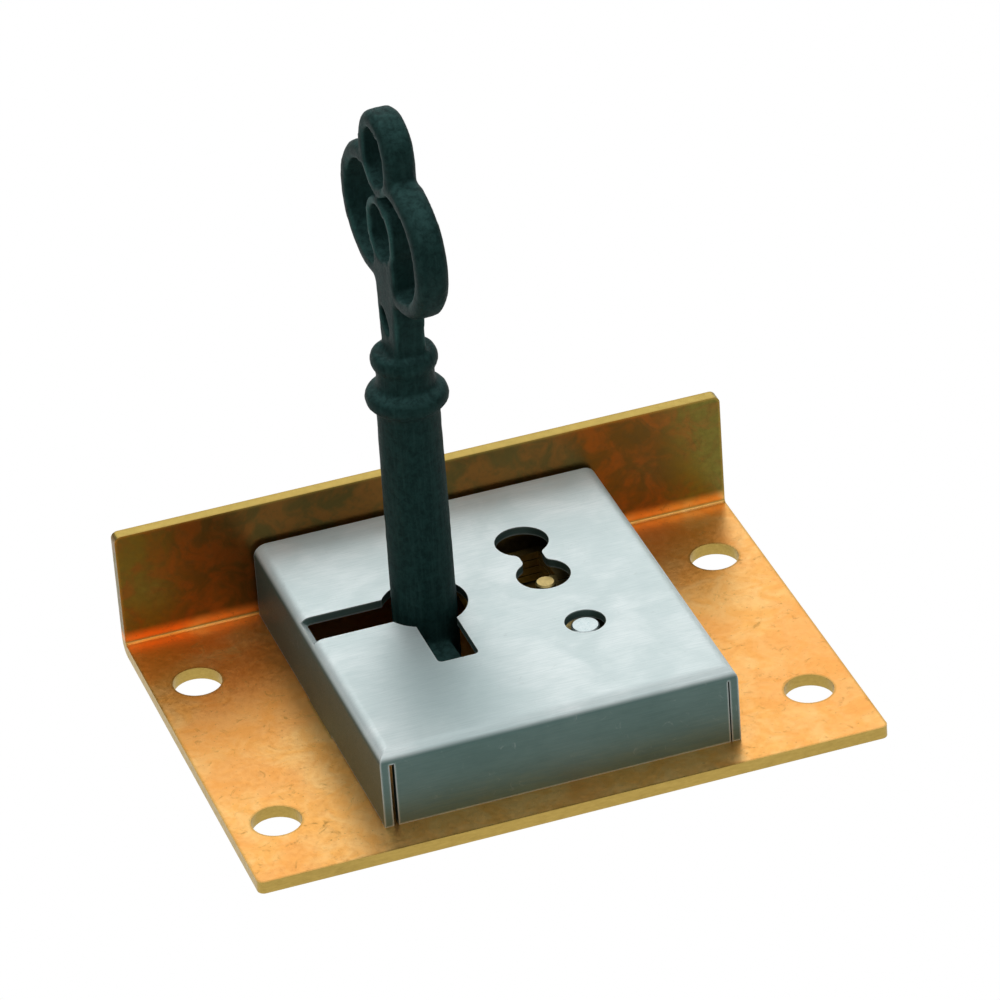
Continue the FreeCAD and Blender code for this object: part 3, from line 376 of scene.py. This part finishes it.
# The key as cast: the solid's own form with every edge softened and a slightly uneven skin
def cast_piece(node, material, grain, rounds, lump):
    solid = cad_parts[node]
    piece = solid.copy()
    piece.data = solid.data.copy()
    piece.name = node + "_casting"
    bpy.context.collection.objects.link(piece)
    grid = piece.modifiers.new("grid", "REMESH")
    grid.mode = "VOXEL"
    grid.voxel_size = grain
    grid.use_smooth_shade = True
    soft = piece.modifiers.new("soft", "SMOOTH")
    soft.factor = 0.5
    soft.iterations = rounds
    graph = bpy.context.evaluated_depsgraph_get()
    mesh = bpy.data.meshes.new_from_object(piece.evaluated_get(graph))
    piece.modifiers.clear()
    piece.data = mesh
    mark_crests(mesh, grain, CREST_ROUNDS)
    for vertex in mesh.vertices:
        where = vertex.co / MM
        swell = noise.fractal(where * LUMP_PITCH, LUMP_ROUGH, LUMP_STEP, LUMP_LAYERS)
        vertex.co -= vertex.normal * lump * (0.5 + 0.5 * max(-1.0, min(1.0, swell)))
    mesh.materials.clear()
    mesh.materials.append(material)
    for face in mesh.polygons:
        face.use_smooth = True
    return piece


# Every node gets its material
FINISHES = {
    "plate_brass": (plate_brass(), ("back_plate",)),
    "case_steel": (case_steel(), ("lock_case",)),
    "key_iron": (key_iron(), ("key",)),
    "works_brass": (works_brass(), ("bolt", "bolt_stump", "lever_1", "lever_2", "lever_3", "lever_4")),
    "pin_steel": (pin_steel(), ("pivot_post", "drill_pin")),
    "spring_steel": (spring_steel(), tuple("lever_spring_%d" % number for number in range(1, 5))),
}
for material, nodes in FINISHES.values():
    for node in nodes:
        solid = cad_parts[node]
        for slot in solid.material_slots:
            slot.material = material
        if not solid.material_slots:
            solid.data.materials.append(material)

casting = cast_piece("key", FINISHES["key_iron"][0], CAST_GRAIN * MM, CAST_ROUNDS, CAST_LUMP * MM)
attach(casting, "key")
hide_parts("key")


# Floor: white to the camera, in gloss and through glass, pale to the light
def floor_paper():
    t = Tree("floor_paper")
    paper = t.mix(t.noise(0.4, 3.0, 0.5), colour(0.80, 0.80, 0.79), colour(0.83, 0.83, 0.82))
    t.finish(paper, 0.85, t.bumps((t.noise(2.5, 4.0, 0.6), 0.02, 0.1)))
    glow = t.add("ShaderNodeEmission", {"Color": colour(1, 1, 1), "Strength": 1.0})
    path = t.add("ShaderNodeLightPath").outputs
    seen = t.maths("MAXIMUM", path["Is Camera Ray"], path["Is Transmission Ray"])
    seen = t.maths("MAXIMUM", seen, path["Is Glossy Ray"])
    blend = t.add("ShaderNodeMixShader", {"Fac": seen})
    t.links.new(t.shader.outputs["BSDF"], blend.inputs[1])
    t.links.new(glow.outputs["Emission"], blend.inputs[2])
    t.links.new(blend.outputs["Shader"], t.nodes["Material Output"].inputs["Surface"])
    return t.material


bpy.ops.mesh.primitive_plane_add(size=2 * FLOOR_HALF, location=(0, 0, -FLOOR_DROP))
floor = bpy.context.object
floor.name = "floor"
floor.data.materials.append(floor_paper())

# Soft studio lamps
for name, place, size, watts in LAMPS:
    data = bpy.data.lights.new(name, "AREA")
    data.shape = "RECTANGLE"
    data.size, data.size_y = size
    data.energy = watts
    lamp = bpy.data.objects.new(name, data)
    bpy.context.collection.objects.link(lamp)
    lamp.location = place
    lamp.rotation_mode = "QUATERNION"
    lamp.rotation_quaternion = (Vector(AIM) - Vector(place)).to_track_quat("-Z", "Y")

# World: white to the camera, dim to the light
world = bpy.data.worlds.new("studio")
world.use_nodes = True
backdrop = world.node_tree.nodes["Background"]
backdrop.inputs["Color"].default_value = colour(1, 1, 1)
world_path = world.node_tree.nodes.new("ShaderNodeLightPath")
strength = world.node_tree.nodes.new("ShaderNodeMapRange")
strength.inputs["To Min"].default_value = WORLD_LIGHT
strength.inputs["To Max"].default_value = WORLD_SEEN
world.node_tree.links.new(world_path.outputs["Is Camera Ray"], strength.inputs["Value"])
world.node_tree.links.new(strength.outputs["Result"], backdrop.inputs["Strength"])
bpy.context.scene.world = world

# The camera's own axes, then the camera
back = Vector(
    (
        math.sin(AZIMUTH) * math.cos(ELEVATION),
        -math.cos(AZIMUTH) * math.cos(ELEVATION),
        math.sin(ELEVATION),
    )
)
level = Vector((math.cos(AZIMUTH), math.sin(AZIMUTH), 0.0))
upright = back.cross(level)
right = level * math.cos(ROLL) + upright * math.sin(ROLL)
up = upright * math.cos(ROLL) - level * math.sin(ROLL)
lens = bpy.data.cameras.new("camera")
lens.sensor_width = SENSOR
lens.lens = LENS
lens.clip_start, lens.clip_end = CLIP
camera = bpy.data.objects.new("camera", lens)
bpy.context.collection.objects.link(camera)
camera.rotation_mode = "QUATERNION"
camera.rotation_quaternion = Matrix((right, up, back)).transposed().to_quaternion()
camera.location = TARGET + back * DISTANCE + right * ASIDE + up * RAISED
bpy.context.scene.camera = camera
bpy.context.scene.view_settings.view_transform = "Standard"
